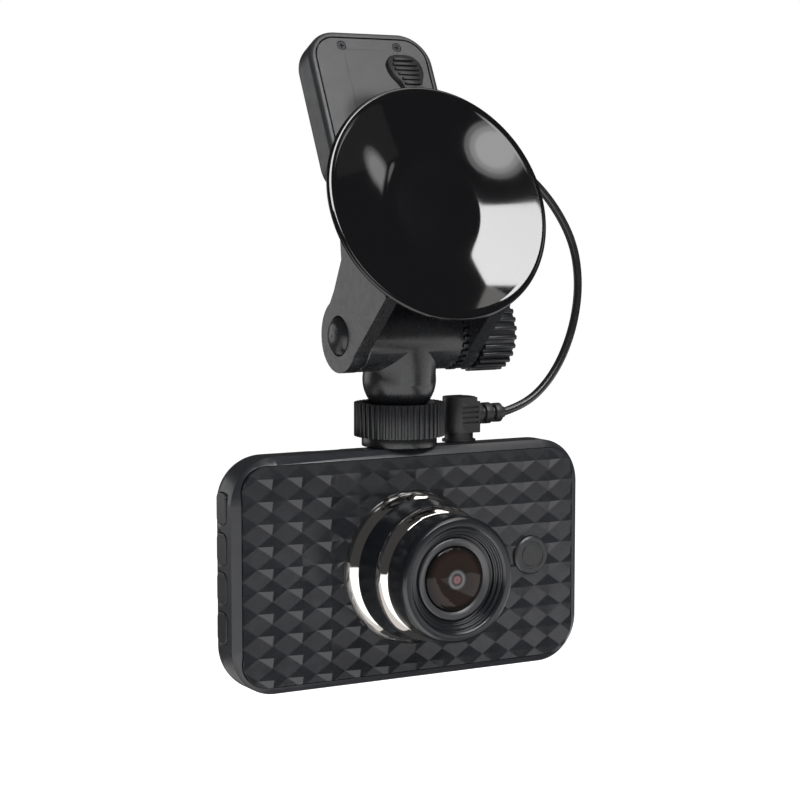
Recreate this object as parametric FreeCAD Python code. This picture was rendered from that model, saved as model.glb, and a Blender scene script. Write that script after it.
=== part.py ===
import FreeCAD, Part
import math
import os

from FreeCAD import Rotation, Vector

# Dash camera on a suction-cup mount with a GPS module and its short lead. Millimetres.
#
# Row frame: +Z is up and the lens looks along -Y. The origin is the centre of the suction cup's rim,
# on the glass.
# Mount frame: x, back (away from the glass) and up (along the glass). It is the row frame turned by
# GLASS_LEAN about X, and on_glass() brings a shape from it into the row frame.

GLASS_LEAN = 20.8          # degrees that the glass leans back from the vertical

# Suction cup, stem and lock lever (mount frame)
CUP_R = 27.8
CUP_DISH = 3.2             # depth of the hollow face
CUP_REAR = [(27.8, 0.9), (27.2, 1.5), (24.0, 2.7), (19.0, 4.9), (13.0, 7.4), (9.0, 8.9), (6.6, 9.2)]
CUP_BOSS_R = 6.6           # the boss round the stem's head
CUP_BOSS_BACK = 10.6
TAB_REACH = 39.4           # the pull tab's tip, from the cup's centre
TAB_LEAN = 19.0            # degrees back from the rim plane
STEM_R = 2.5
STEM_HEAD_R = 5.5          # disc moulded into the cup
STEM_HEAD_FRONT = 5.6
STEM_HEAD_BACK = 7.2
PIN_BACK = 22.9            # lever pin behind the rim plane
PIN_R = 1.25
STEM_END = 2.2             # the stem's end, past the pin
STEM_SWING_R = 3.7         # room in the lever for the stem's end as the lever turns
LEVER_HALF_WIDTH = 6.0
RUN_FIT = 0.05             # radial clearance of a running fit

# Mount base with its yoke (mount frame)
HINGE_BACK = 26.9
HINGE_UP = -22.4
ARM_OUTER_X = 16.7
ARM_THICKNESS = 3.5
ARM_R = 8.5
BOLT_R = 2.5
BOLT_HEAD_R = 4.4

# GPS module (its own frame: x, back from the cover's face, up from the face's top edge)
MODULE_LEAN = 5.2          # degrees more than the glass
MODULE_BACK = 18.0
MODULE_UP = 47.7
MODULE_HALF_WIDTH = 16.4
MODULE_DEPTH = 9.4
MODULE_HEIGHT = 39.0
MODULE_CORNER_R = 8.0
MODULE_RIM = 1.9           # the housing's rim above the cover's top edge
COVER_HALF_WIDTH = 14.6
COVER_CORNER_R = 5.6
COVER_GAP = 0.3
MODULE_SCREWS = ((-7.4, -2.0), (7.4, -2.0), (-7.4, -33.6), (7.4, -33.6))

# Neck, lock ring and clamp knob (row frame)
STUD_Y = 18.6
STUD_R = 3.15
INSERT_R = 3.6             # threaded bush in the camera's top wall
BARREL_R = 8.4
BARREL_LEFT_X = -12.9
BARREL_RIGHT_X = 11.5
BRIDGE_R = 8.25
BULB_Z = -41.0
BULB_R = 8.6
NECK_FOOT_R = 5.4
NECK_FOOT_Z = -47.4
RING_R = 10.6
RING_TOP_Z = -46.4
RING_BOTTOM_Z = -54.2
RING_RECESS_Z = -50.7      # floor of the hollow that takes the bulb as the ring rises
WASHER_R = 8.8
RING_RIBS = 44
RING_RIB_R = 0.42
KNOB_R = 9.3
KNOB_INNER_X = 17.4
KNOB_OUTER_X = 25.6
KNOB_RIBS = 26
KNOB_RIB_R = 0.62

# Camera body (row frame)
BODY_W = 91.8
BODY_H = 53.8
BODY_CORNER_R = 10.5
BODY_REAR_R = 9.4
BODY_CHAMFER = 1.9
BODY_Z = -83.5             # centre height
FRONT_Y = 11.25            # plane of the front panel's valleys
RIM_Y = FRONT_Y - 0.2      # foremost plane of the shell
REAR_Y = 27.75
SEAM_Y = 22.55             # where the two shells meet
WALL = 1.8
REAR_INSET = 5.2           # the cavity behind the seam stands this far in from the sides
CAVITY_FRONT_Y = 14.25

# Rear window
WINDOW_W = 68.0
WINDOW_H = 39.0

# Front panel: rows of low four-sided pyramids
PANEL_X = -0.3
PANEL_W = 87.4
PANEL_H = 50.0
PANEL_CORNER_R = 6.5
PANEL_THICKNESS = 1.4
PANEL_GAP = 0.15
GRID_X = 0.1               # where the middle column of apexes stands
GRID_Z = -83.98
PITCH_X = 7.35
PITCH_Z = 5.04
COLUMNS = 13
ROWS = 10
PYRAMID_H = 0.7
BADGE_X = 31.7
BADGE_Z = -84.0
BADGE_R = 4.6

# Lens, measured forward from the panel's valley plane
LENS_X = -0.4
LENS_Z = -84.13
FLANGE_R = 17.85
BARREL_FRONT_D = 20.8
LENS_TUBE_R = 13.6

# Side buttons
BUTTON_Z = (-68.1, -77.2, -86.1, -95.1)
BUTTON_Y = 17.8
BUTTON_DEPTH = 4.8
BUTTON_LENGTH = 7.1
BUTTON_PROUD = 0.25
BUTTON_GAP = 0.15

# Electronics
BOARD_Y = 17.2
BOARD_T = 1.0
SCREW_X = 36.9
SCREW_DZ = 19.2
SCREW_BOSS_R = 2.3
CARD_Z = -84.5
CARD_W = 11.0
CARD_L = 15.0
CARD_T = 0.8
CARD_Y = 19.05
USB_X = -19.15
USB_Y = 20.2
JACK_X = 16.6
JACK_Y = 19.25

# Plug and lead
PLUG_R = 3.9
PLUG_RIGHT_X = 20.2
PLUG_BOTTOM_Z = -54.3
PLUG_TOP_Z = -45.9
PLUG_GROOVE_Z = (-48.5, -49.7, -50.9, -52.1)
PLUG_GROOVE_WIDTH = 0.5
PLUG_GROOVE_DEPTH = 0.35
LEAD_R = 1.0
LEAD_Z = -50.2             # height of the lead where it leaves the plug
RELIEF_END_X = 29.0
GLAND_DROP = 27.0          # the gland's place below the module's top edge
GLAND_BACK = 4.2
GLAND_TIP_X = 23.0

os.makedirs("parts", exist_ok=True)

X_AXIS = Vector(1, 0, 0)
Y_AXIS = Vector(0, 1, 0)
Z_AXIS = Vector(0, 0, 1)
ORIGIN = Vector(0, 0, 0)


# Frames

def on_glass(shape):
    """Bring a shape from the mount frame into the row frame."""
    shape = shape.copy()
    shape.rotate(ORIGIN, X_AXIS, -GLASS_LEAN)
    return shape


def on_module(shape):
    """Bring a shape from the GPS module's frame into the mount frame."""
    shape = shape.copy()
    shape.rotate(ORIGIN, X_AXIS, -MODULE_LEAN)
    shape.translate(Vector(0, MODULE_BACK, MODULE_UP))
    return shape


def glass_point(x, back, up):
    """A point of the mount frame in the row frame."""
    return Rotation(X_AXIS, -GLASS_LEAN).multVec(Vector(x, back, up))


def module_point(x, back, up):
    """A point of the GPS module's frame in the row frame."""
    p = Rotation(X_AXIS, -MODULE_LEAN).multVec(Vector(x, back, up))
    return glass_point(p.x, p.y + MODULE_BACK, p.z + MODULE_UP)


HINGE = glass_point(0, HINGE_BACK, HINGE_UP)


# Basic shapes

def block(x0, x1, y0, y1, z0, z1):
    return Part.makeBox(x1 - x0, y1 - y0, z1 - z0, Vector(x0, y0, z0))


def rod(radius, start, end):
    """A cylinder from one point to another."""
    line = end - start
    return Part.makeCylinder(radius, line.Length, start, line)


def tube(outer, inner, start, end):
    return rod(outer, start, end).cut(rod(inner, start, end))


def turned(profile, start, axis):
    """A solid of revolution: profile holds (radius, distance along the axis) corners."""
    axis = Vector(axis).normalize()
    side = X_AXIS if abs(axis.x) < 0.5 else Y_AXIS
    corners = [start + axis * d + side * r for r, d in profile]
    face = Part.Face(Part.makePolygon(corners + corners[:1]))
    solid = face.revolve(start, axis, 360)
    return Part.Solid(solid.Shells[0]) if solid.ShapeType != "Solid" else solid


def rounded_slab(cx, cz, width, height, radius, y0, y1):
    """A slab with rounded corners in the XZ plane, from y0 to y1."""
    slab = block(cx - width / 2, cx + width / 2, y0, y1, cz - height / 2, cz + height / 2)
    uprights = [e for e in slab.Edges if abs(e.tangentAt(e.FirstParameter).y) > 0.9]
    return slab.makeFillet(radius, uprights)


def edges_at(shape, axis, value):
    """The edges that lie wholly in the plane where the axis has the value."""
    found = []
    for edge in shape.Edges:
        box = edge.BoundBox
        low, high = {"x": (box.XMin, box.XMax), "y": (box.YMin, box.YMax), "z": (box.ZMin, box.ZMax)}[axis]
        if abs(low - value) < 1e-4 and abs(high - value) < 1e-4:
            found.append(edge)
    return found


def fuse_all(shapes):
    return shapes[0].multiFuse(shapes[1:]).removeSplitter()


def save(node, shape):
    """Check one node and write it to its own file."""
    if shape.isNull() or not shape.isValid():
        raise ValueError("bad shape: " + node)
    solids = shape.Solids
    if not solids:
        raise ValueError("no solid: " + node)
    out = solids[0] if len(solids) == 1 else Part.makeCompound(solids)
    out.exportStep("parts/" + node + ".step")
    print("%-18s solids %2d  volume %9.1f mm3" % (node, len(solids), out.Volume))


# Suction cup, stem and lever

def cup_front_depth(r):
    """Depth of the hollow face at a radius: a flat bowl that runs out at the rim's lip."""
    lip = CUP_R - 1.4
    return 0.0 if r >= lip else CUP_DISH * (1 - (r / lip) ** 2) ** 0.8


def pull_tab():
    """The ribbed tab at the top of the rim, leaning back from the glass."""
    reach = TAB_REACH - CUP_R
    neck_part = block(-3.1, 3.1, 0.0, 1.3, -2.0, reach - 3.5)
    head = rounded_slab(0, reach - 3.6, 8.8, 7.2, 3.2, 0.0, 1.8)
    rib_pitch = 1.6
    ribs = []
    for k in range(4):
        low = reach - 6.0 + rib_pitch * k
        ribs.append(block(-2.9, 2.9, -0.45, 0.1, low, low + 0.8))
    tab = fuse_all([neck_part, head] + ribs)
    tab.rotate(ORIGIN, X_AXIS, -TAB_LEAN)
    tab.translate(Vector(0, 0.9, CUP_R))
    return tab


def suction_cup():
    front = [(r, cup_front_depth(r)) for r in (0.0, 6.0, 12.0, 17.0, 21.0, 24.0, 25.6)]
    profile = front + [(CUP_R - 1.4, 0.0), (CUP_R, 0.0)] + CUP_REAR
    profile += [(CUP_BOSS_R, CUP_BOSS_BACK), (0.0, CUP_BOSS_BACK)]
    bowl = turned(profile, ORIGIN, Y_AXIS)
    nib = turned([(0, CUP_DISH + 0.6), (0, CUP_DISH - 0.5), (1.0, CUP_DISH - 0.2), (1.2, CUP_DISH + 0.6)],
                 ORIGIN, Y_AXIS)
    cup = fuse_all([bowl, nib, pull_tab()])
    head = rod(STEM_HEAD_R, Vector(0, STEM_HEAD_FRONT, 0), Vector(0, STEM_HEAD_BACK, 0))
    shaft = rod(STEM_R, Vector(0, STEM_HEAD_BACK, 0), Vector(0, 12, 0))
    return on_glass(cup.cut(head).cut(shaft))


def cup_stem():
    head = rod(STEM_HEAD_R, Vector(0, STEM_HEAD_FRONT, 0), Vector(0, STEM_HEAD_BACK, 0))
    shaft = rod(STEM_R, Vector(0, STEM_HEAD_BACK, 0), Vector(0, PIN_BACK + STEM_END, 0))
    pin = rod(PIN_R, Vector(-10, PIN_BACK, 0), Vector(10, PIN_BACK, 0))
    return on_glass(head.fuse(shaft).cut(pin))


def lever_pin():
    half = LEVER_HALF_WIDTH - 0.2
    return on_glass(rod(PIN_R, Vector(-half, PIN_BACK, 0), Vector(half, PIN_BACK, 0)))


def stem_spring():
    """The spring that lets the cup's centre out, drawn as its sleeve."""
    return on_glass(tube(4.4, 3.2, Vector(0, 10.75, 0), Vector(0, 14.9, 0)))


def lock_lever():
    """Cam lever: its lobe bears on the base's back and pulls the stem."""
    hub = rod(2.5, Vector(-LEVER_HALF_WIDTH, PIN_BACK, 0), Vector(LEVER_HALF_WIDTH, PIN_BACK, 0))
    lobe_axis = PIN_BACK - 2.4
    lobe = rod(1.6, Vector(-LEVER_HALF_WIDTH, lobe_axis, 0), Vector(LEVER_HALF_WIDTH, lobe_axis, 0))
    web = block(-LEVER_HALF_WIDTH, LEVER_HALF_WIDTH, lobe_axis, PIN_BACK, -1.6, 1.6)
    outline = [(24.0, 2.2), (30.0, -1.2), (36.2, -6.6), (39.6, -10.8), (38.4, -12.4),
               (34.6, -9.6), (28.6, -5.0), (22.8, -2.3)]
    corners = [Vector(-LEVER_HALF_WIDTH, b, u) for b, u in outline]
    plate = Part.Face(Part.makePolygon(corners + corners[:1])).extrude(Vector(2 * LEVER_HALF_WIDTH, 0, 0))
    lever = fuse_all([hub, lobe, web, plate])
    lever = lever.cut(rod(PIN_R + RUN_FIT, Vector(-20, PIN_BACK, 0), Vector(20, PIN_BACK, 0)))
    slot_half = STEM_R + 0.3
    stem_slot = block(-slot_half, slot_half, PIN_BACK - 6, PIN_BACK + STEM_END, -STEM_SWING_R, STEM_SWING_R)
    stem_swing = rod(STEM_SWING_R, Vector(-slot_half, PIN_BACK, 0), Vector(slot_half, PIN_BACK, 0))
    return on_glass(lever.cut(stem_slot).cut(stem_swing))


# Mount base with yoke arms

def yoke_arm(outer_x, inner_x):
    """One arm's side plate: round at the hinge, widening up to the bell."""
    x0, x1 = sorted((outer_x, inner_x))
    hinge = Vector(x0, HINGE_BACK, HINGE_UP)
    eye = rod(ARM_R, hinge, hinge + Vector(x1 - x0, 0, 0))
    outline = [(21.3, -28.9), (2.6, -21.4), (6.0, -10.0), (9.0, 7.0), (13.5, 8.0), (17.2, 2.0),
               (19.4, -6.6), (25.2, -11.9), (34.2, -18.1)]
    corners = [Vector(x0, b, u) for b, u in outline]
    plate = Part.Face(Part.makePolygon(corners + corners[:1])).extrude(Vector(x1 - x0, 0, 0))
    return eye.fuse(plate)


def cup_clearance():
    """The room the cup's rubber needs inside the bell, with space behind its boss."""
    gap = 0.3
    profile = [(0, -1), (40, -1), (40, 1.5), (CUP_R + 1, 1.5)]
    profile += [(r, d + gap) for r, d in CUP_REAR[1:-1]] + [(6.9, 9.5), (6.9, 15.0), (0, 15.0)]
    return turned(profile, ORIGIN, Y_AXIS)


def mount_base():
    bell = turned([(0, 4), (23.4, 3.1), (23.4, 4.6), (21.6, 9.5), (18.6, 14.4), (14.6, 17.2), (9.5, 18.3),
                   (0, 18.3)], ORIGIN, Y_AXIS)
    inner = ARM_OUTER_X - ARM_THICKNESS
    arms = [yoke_arm(-ARM_OUTER_X, -inner), yoke_arm(inner, ARM_OUTER_X)]
    pedestal = on_module(block(-9, 9, -5.0, 0.0, -MODULE_HEIGHT + 1.2, -MODULE_HEIGHT + 10.2))
    base = fuse_all([bell, pedestal] + arms)
    base = base.cut(on_module(module_slab(0.05, -0.02, 2 * MODULE_DEPTH)))
    base = base.cut(cup_clearance())
    base = base.cut(rod(STEM_R + RUN_FIT, Vector(0, 10, 0), Vector(0, 25, 0)))
    bolt_hole = rod(BOLT_R + RUN_FIT, Vector(-30, HINGE_BACK, HINGE_UP), Vector(30, HINGE_BACK, HINGE_UP))
    head_recess = rod(BOLT_HEAD_R + 0.25, Vector(-30, HINGE_BACK, HINGE_UP),
                      Vector(-ARM_OUTER_X + 1.5, HINGE_BACK, HINGE_UP))
    return on_glass(base.cut(bolt_hole).cut(head_recess))


def hinge_bolt():
    """Round-headed bolt through both arms and the neck's barrel."""
    head_x = -ARM_OUTER_X + 1.5
    shaft = rod(BOLT_R, Vector(head_x, HINGE_BACK, HINGE_UP), Vector(24.4, HINGE_BACK, HINGE_UP))
    dome = [(0, 0), (BOLT_HEAD_R, 0), (BOLT_HEAD_R, 1.5), (3.9, 2.2), (2.9, 2.8), (1.5, 3.15), (0, 3.25)]
    head = turned(dome, Vector(head_x, HINGE_BACK, HINGE_UP), Vector(-1, 0, 0))
    return on_glass(shaft.fuse(head))


def friction_washer():
    """Toothed disc between the barrel and the right arm."""
    x0 = BARREL_RIGHT_X + 0.3
    x1 = ARM_OUTER_X - ARM_THICKNESS
    disc = tube(8.0, BOLT_R + RUN_FIT, Vector(x0, HINGE.y, HINGE.z), Vector(x1, HINGE.y, HINGE.z))
    tooth_count = 30
    teeth = []
    for k in range(tooth_count):
        tooth = block(x0, x1, -0.45, 0.45, 7.6, 8.7)
        tooth.rotate(ORIGIN, X_AXIS, 360 / tooth_count * k)
        tooth.translate(Vector(0, HINGE.y, HINGE.z))
        teeth.append(tooth)
    return fuse_all([disc] + teeth)


# Neck and what turns on it

def neck():
    barrel = rod(BARREL_R, Vector(BARREL_LEFT_X, HINGE.y, HINGE.z), Vector(BARREL_RIGHT_X, HINGE.y, HINGE.z))
    barrel = barrel.makeFillet(0.6, edges_at(barrel, "x", BARREL_LEFT_X))
    bulb = Part.makeSphere(BULB_R, Vector(0, STUD_Y, BULB_Z))
    foot = rod(NECK_FOOT_R, Vector(0, STUD_Y, NECK_FOOT_Z), Vector(0, STUD_Y, BULB_Z))
    # the bridge is nearly as wide as the barrel, so the two meet in a pointed arch on the front
    bridge = rod(BRIDGE_R, Vector(0, STUD_Y - 0.4, BULB_Z), Vector(0, HINGE.y, HINGE.z))
    body = fuse_all([barrel, bulb, foot, bridge])
    body = body.cut(rod(BOLT_R + RUN_FIT, Vector(-30, HINGE.y, HINGE.z), Vector(30, HINGE.y, HINGE.z)))
    return body.cut(rod(STUD_R, Vector(0, STUD_Y, NECK_FOOT_Z - 5), Vector(0, STUD_Y, BULB_Z + 1)))


def mount_stud():
    return rod(STUD_R, Vector(0, STUD_Y, -62.3), Vector(0, STUD_Y, BULB_Z + 1))


def ribbed_drum(radius, ribs, rib_r, start, end):
    """A drum with half-round grip ribs along it, at the given outer radius."""
    core_r = radius - rib_r * 1.3
    axis = (end - start).normalize()
    side = X_AXIS if abs(axis.x) < 0.5 else Z_AXIS
    pieces = [rod(core_r, start, end)]
    for k in range(ribs):
        offset = Rotation(axis, 360 / ribs * k).multVec(side) * (radius - rib_r)
        pieces.append(rod(rib_r, start + offset, end + offset))
    return fuse_all(pieces)


def lock_ring():
    drum = ribbed_drum(RING_R, RING_RIBS, RING_RIB_R, Vector(0, STUD_Y, RING_BOTTOM_Z), Vector(0, STUD_Y, RING_TOP_Z))
    top_recess = rod(BULB_R, Vector(0, STUD_Y, RING_RECESS_Z), Vector(0, STUD_Y, RING_TOP_Z + 1))
    bore = rod(STUD_R + RUN_FIT, Vector(0, STUD_Y, RING_BOTTOM_Z - 1), Vector(0, STUD_Y, RING_TOP_Z + 1))
    return drum.cut(top_recess).cut(bore)


def lock_washer():
    return tube(WASHER_R, STUD_R + RUN_FIT, Vector(0, STUD_Y, BODY_Z + BODY_H / 2 + 0.05),
                Vector(0, STUD_Y, RING_BOTTOM_Z - 0.05))


def knob_washer():
    return tube(5.6, BOLT_R + RUN_FIT, Vector(ARM_OUTER_X + 0.05, HINGE.y, HINGE.z),
                Vector(KNOB_INNER_X - 0.1, HINGE.y, HINGE.z))


def knob_nut():
    return tube(4.2, BOLT_R + RUN_FIT, Vector(KNOB_INNER_X, HINGE.y, HINGE.z), Vector(22.0, HINGE.y, HINGE.z))


def clamp_knob():
    drum = ribbed_drum(KNOB_R, KNOB_RIBS, KNOB_RIB_R, Vector(KNOB_INNER_X, HINGE.y, HINGE.z),
                       Vector(KNOB_OUTER_X, HINGE.y, HINGE.z))
    nut_seat = rod(4.2, Vector(KNOB_INNER_X - 1, HINGE.y, HINGE.z), Vector(22.0, HINGE.y, HINGE.z))
    bolt_room = rod(BOLT_R + 0.3, Vector(KNOB_INNER_X - 1, HINGE.y, HINGE.z), Vector(24.7, HINGE.y, HINGE.z))
    return drum.cut(nut_seat).cut(bolt_room)


# GPS module

def cover_blank(grow, back0, back1):
    """The module's front opening, grown all round, between two depths."""
    half = COVER_HALF_WIDTH + grow
    top = grow
    bottom = -MODULE_HEIGHT + 2.6 - grow
    return rounded_slab(0, (top + bottom) / 2, 2 * half, top - bottom, COVER_CORNER_R + grow, back0, back1)




def module_slab(grow, back0, back1):
    """The module's outline, grown all round, between two depths."""
    top = MODULE_RIM + grow
    bottom = MODULE_RIM - MODULE_HEIGHT - 1.6 - grow
    radius = MODULE_CORNER_R + grow
    return rounded_slab(0, (top + bottom) / 2, 2 * (MODULE_HALF_WIDTH + grow), top - bottom, radius, back0, back1)


def gps_housing():
    shell = module_slab(0, 0.0, MODULE_DEPTH)
    shell = shell.makeFillet(3.6, edges_at(shell, "y", MODULE_DEPTH))
    shell = shell.makeFillet(1.2, edges_at(shell, "y", 0.0))
    shell = shell.cut(cover_blank(COVER_GAP, -1, 1.6))
    shell = shell.cut(cover_blank(-1.6, 1.0, MODULE_DEPTH - 1.6))
    gland_hole = rod(2.3, Vector(MODULE_HALF_WIDTH - 6, GLAND_BACK, -GLAND_DROP),
                     Vector(MODULE_HALF_WIDTH + 6, GLAND_BACK, -GLAND_DROP))
    return on_glass(on_module(shell.cut(gland_hole)))


def gps_cover():
    cover = cover_blank(0, 0.0, 1.55)
    for x, up in MODULE_SCREWS:
        cover = cover.cut(rod(1.15, Vector(x, -1, up), Vector(x, 0.7, up)))
        cover = cover.cut(rod(0.75, Vector(x, 0, up), Vector(x, 3, up)))
    return on_glass(on_module(cover))


def gps_cover_screws():
    screws = []
    for x, up in MODULE_SCREWS:
        head = rod(1.1, Vector(x, 0.12, up), Vector(x, 0.7, up))
        slots = block(x - 0.65, x + 0.65, 0, 0.4, up - 0.12, up + 0.12)
        slots = slots.fuse(block(x - 0.12, x + 0.12, 0, 0.4, up - 0.65, up + 0.65))
        shank = rod(0.7, Vector(x, 0.7, up), Vector(x, 1.6, up))
        screws.append(on_glass(on_module(head.fuse(shank).cut(slots))))
    return Part.makeCompound(screws)


def gps_board():
    board = rounded_slab(0, -17.4, 25.0, 30.0, 2.0, 5.5, 6.4)
    return on_glass(on_module(board))


def gps_antenna():
    patch = block(-9, 9, 2.0, 5.45, -21.5, -3.5)
    return on_glass(on_module(patch.makeChamfer(0.6, edges_at(patch, "y", 2.0))))


def gps_lead_gland():
    """Strain relief of the lead at the module's right side."""
    start = Vector(MODULE_HALF_WIDTH - 2.0, GLAND_BACK, -GLAND_DROP)
    length = GLAND_TIP_X - MODULE_HALF_WIDTH + 2.0
    profile = [(0, 0), (2.25, 0), (2.25, 2.0), (3.0, 2.05), (3.0, 3.0), (2.3, 3.6), (1.7, length), (0, length)]
    relief = turned(profile, start, X_AXIS)
    return on_glass(on_module(relief))


# Camera shells

def body_slab(inset, y0, y1):
    return rounded_slab(0, BODY_Z, BODY_W - 2 * inset, BODY_H - 2 * inset, BODY_CORNER_R - inset, y0, y1)


def hollow_body():
    """The case before it is split, with a rounded back and a cavity that steps in behind the seam."""
    outer = body_slab(0, RIM_Y, REAR_Y)
    outer = outer.makeFillet(BODY_REAR_R, edges_at(outer, "y", REAR_Y))
    outer = outer.makeChamfer(BODY_CHAMFER, edges_at(outer, "y", RIM_Y))
    front_room = body_slab(WALL, CAVITY_FRONT_Y, SEAM_Y)
    rear_room = body_slab(REAR_INSET, SEAM_Y - 0.1, REAR_Y - WALL)
    return outer.cut(front_room).cut(rear_room)


def screw_places():
    return [(sx * SCREW_X, BODY_Z + sz * SCREW_DZ) for sx in (-1, 1) for sz in (-1, 1)]


def button_outline(grow, z):
    """A button's shape in the side wall, along X, grown all round."""
    half_y = BUTTON_DEPTH / 2 + grow
    half_z = BUTTON_LENGTH / 2 + grow
    pad = block(-BODY_W / 2 - 3, -BODY_W / 2 + 6, BUTTON_Y - half_y, BUTTON_Y + half_y, z - half_z, z + half_z)
    along = [e for e in pad.Edges if abs(e.tangentAt(e.FirstParameter).x) > 0.9]
    return pad.makeFillet(1.5 + grow, along)


def front_shell(body):
    shell = body.common(block(-60, 60, 0, SEAM_Y, -130, -40))
    shell = shell.cut(rounded_slab(PANEL_X, BODY_Z, PANEL_W + 2 * PANEL_GAP, PANEL_H + 2 * PANEL_GAP, PANEL_CORNER_R,
                                   FRONT_Y - 5, FRONT_Y + PANEL_THICKNESS))
    shell = shell.cut(rod(LENS_TUBE_R + 0.05, Vector(LENS_X, 0, LENS_Z), Vector(LENS_X, 16, LENS_Z)))
    top = BODY_Z + BODY_H / 2
    boss = rod(INSERT_R + 1.8, Vector(0, STUD_Y, top - WALL - 4.2), Vector(0, STUD_Y, top - WALL + 0.2))
    boss = boss.common(block(-60, 60, 0, SEAM_Y - 0.05, -130, -40))
    posts = [rod(SCREW_BOSS_R, Vector(x, CAVITY_FRONT_Y - 0.2, z), Vector(x, SEAM_Y - 0.02, z))
             for x, z in screw_places()]
    shell = fuse_all([shell, boss] + posts)
    shell = shell.cut(rod(INSERT_R + 0.02, Vector(0, STUD_Y, top - 8), Vector(0, STUD_Y, top - 0.4)))
    shell = shell.cut(rod(STUD_R + 0.3, Vector(0, STUD_Y, top - 8), Vector(0, STUD_Y, top + 1)))
    for x, z in screw_places():
        shell = shell.cut(rod(0.95, Vector(x, CAVITY_FRONT_Y + 1, z), Vector(x, SEAM_Y + 1, z)))
    for z in BUTTON_Z:
        shell = shell.cut(button_outline(BUTTON_GAP, z).common(block(-60, -BODY_W / 2 + WALL + 0.6, 0, 40, -130, 0)))
    usb_hole = rounded_box_z(USB_X, USB_Y, 8.3, 3.4, 0.8, top - WALL - 0.5, top + 1)
    jack_hole = rod(3.0, Vector(JACK_X, JACK_Y, top - WALL - 0.5), Vector(JACK_X, JACK_Y, top + 1))
    card_slot = block(BODY_W / 2 - WALL - 0.5, BODY_W / 2 + 1, CARD_Y - CARD_T / 2 - 0.2, CARD_Y + CARD_T / 2 + 0.2,
                      CARD_Z - CARD_W / 2 - 0.3, CARD_Z + CARD_W / 2 + 0.3)
    return shell.cut(usb_hole).cut(jack_hole).cut(card_slot)


def rounded_box_z(cx, cy, width, depth, radius, z0, z1):
    box = block(cx - width / 2, cx + width / 2, cy - depth / 2, cy + depth / 2, z0, z1)
    uprights = [e for e in box.Edges if abs(e.tangentAt(e.FirstParameter).z) > 0.9]
    return box.makeFillet(radius, uprights)


def rear_shell(body):
    shell = body.common(block(-60, 60, SEAM_Y, 40, -130, -40))
    shell = shell.cut(rounded_slab(0, BODY_Z, WINDOW_W + 0.1, WINDOW_H + 0.1, 3.0, REAR_Y - 1.3, REAR_Y + 1))
    shell = shell.cut(rounded_slab(0, BODY_Z, 63.0, 35.6, 1.0, REAR_Y - 5, REAR_Y + 1))
    top = BODY_Z + BODY_H / 2
    for x, z in screw_places():
        post = rod(SCREW_BOSS_R, Vector(x, SEAM_Y, z), Vector(x, REAR_Y - WALL + 0.2, z))
        shell = shell.fuse(post)
        shell = shell.cut(rod(1.05, Vector(x, SEAM_Y - 1, z), Vector(x, REAR_Y + 1, z)))
        shell = shell.cut(rod(1.8, Vector(x, REAR_Y - 1.9, z), Vector(x, REAR_Y + 1, z)))
    return shell.removeSplitter()


def shell_screws():
    screws = []
    for x, z in screw_places():
        head = rod(1.7, Vector(x, REAR_Y - 1.85, z), Vector(x, REAR_Y - 0.5, z))
        shank = rod(0.9, Vector(x, 17.0, z), Vector(x, REAR_Y - 1.85, z))
        cross = block(x - 1.0, x + 1.0, REAR_Y - 1.1, REAR_Y, z - 0.18, z + 0.18)
        cross = cross.fuse(block(x - 0.18, x + 0.18, REAR_Y - 1.1, REAR_Y, z - 1.0, z + 1.0))
        screws.append(head.fuse(shank).cut(cross))
    return Part.makeCompound(screws)


# Front panel and badge

def pyramid(x, z):
    """A low four-sided pyramid whose base corners lie halfway to the next apexes."""
    base = [Vector(x + PITCH_X / 2, FRONT_Y, z), Vector(x, FRONT_Y, z + PITCH_Z / 2),
            Vector(x - PITCH_X / 2, FRONT_Y, z), Vector(x, FRONT_Y, z - PITCH_Z / 2)]
    apex = Vector(x, FRONT_Y - PYRAMID_H, z)
    faces = [Part.Face(Part.makePolygon(base + base[:1]))]
    for k in range(4):
        a = base[k]
        b = base[(k + 1) % 4]
        faces.append(Part.Face(Part.makePolygon([a, b, apex, a])))
    solid = Part.Solid(Part.Shell(faces))
    if solid.Volume < 0:
        solid.reverse()
    return solid


def panel_apexes():
    """Where the pyramids stand, column by column."""
    spots = []
    for i in range(COLUMNS):
        for j in range(ROWS):
            spots.append((GRID_X + (i - (COLUMNS - 1) / 2) * PITCH_X, GRID_Z + (j - (ROWS - 1) / 2) * PITCH_Z))
    return spots


def front_panel():
    plate = rounded_slab(PANEL_X, BODY_Z, PANEL_W, PANEL_H, PANEL_CORNER_R, FRONT_Y, FRONT_Y + PANEL_THICKNESS)
    outline = rounded_slab(PANEL_X, BODY_Z, PANEL_W, PANEL_H, PANEL_CORNER_R, FRONT_Y - 3, FRONT_Y + 1)
    lens_room = rod(FLANGE_R + 0.05, Vector(LENS_X, 0, LENS_Z), Vector(LENS_X, 20, LENS_Z))
    badge_room = rod(BADGE_R + 0.1, Vector(BADGE_X, 0, BADGE_Z), Vector(BADGE_X, FRONT_Y + 0.6, BADGE_Z))
    facets = []
    for x, z in panel_apexes():
        facet = pyramid(x, z)
        edge_x = PANEL_W / 2 - abs(x - PANEL_X)
        edge_z = PANEL_H / 2 - abs(z - BODY_Z)
        if edge_x < PITCH_X or edge_z < PITCH_Z:
            facet = facet.common(outline)
        if math.hypot(x - LENS_X, z - LENS_Z) < FLANGE_R + PITCH_X:
            facet = facet.cut(lens_room)
        if math.hypot(x - BADGE_X, z - BADGE_Z) < BADGE_R + PITCH_X:
            facet = facet.cut(badge_room)
        facets.extend(facet.Solids)
    return plate.cut(lens_room).cut(badge_room).multiFuse(facets)


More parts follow.
